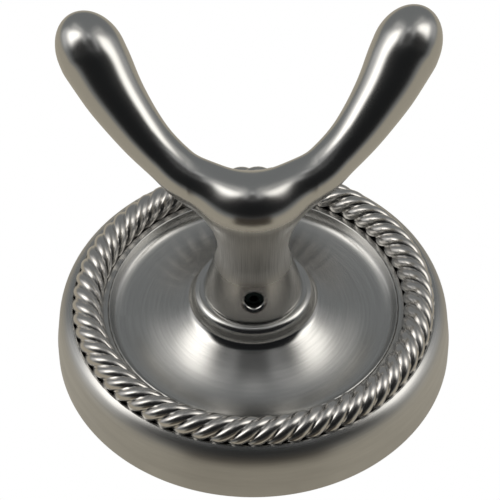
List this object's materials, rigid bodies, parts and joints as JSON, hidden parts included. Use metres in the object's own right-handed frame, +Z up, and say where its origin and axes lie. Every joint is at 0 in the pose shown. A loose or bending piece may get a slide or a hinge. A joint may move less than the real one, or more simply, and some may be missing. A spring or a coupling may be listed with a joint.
{
  "type": "robe hook",
  "caption": "Wall-mounted double robe hook: two rounded arms on a flared post, on a round dished plate with a twisted-rope border.",
  "frame": {"origin": "centre of the wall face, on the post's axis", "axes": "+Z up the wall, +Y into the wall, so the hook stands out along -Y, and +X to the right of someone facing the wall"},
  "size_m": [0.076, 0.0625, 0.076],
  "materials": {
    "satin_nickel": "satin, brushed in circles on the plate and plain satin on the hook",
    "polished_nickel": "polished",
    "screw_steel": "darkened",
    "plated_steel": "zinc plated, hidden"
  },
  "bodies": {
    "root": {"rosette": "satin_nickel", "rope_ring": "polished_nickel", "hook": "satin_nickel", "set_screw": "screw_steel", "wall_bracket": "plated_steel"}
  },
  "joints": []
}
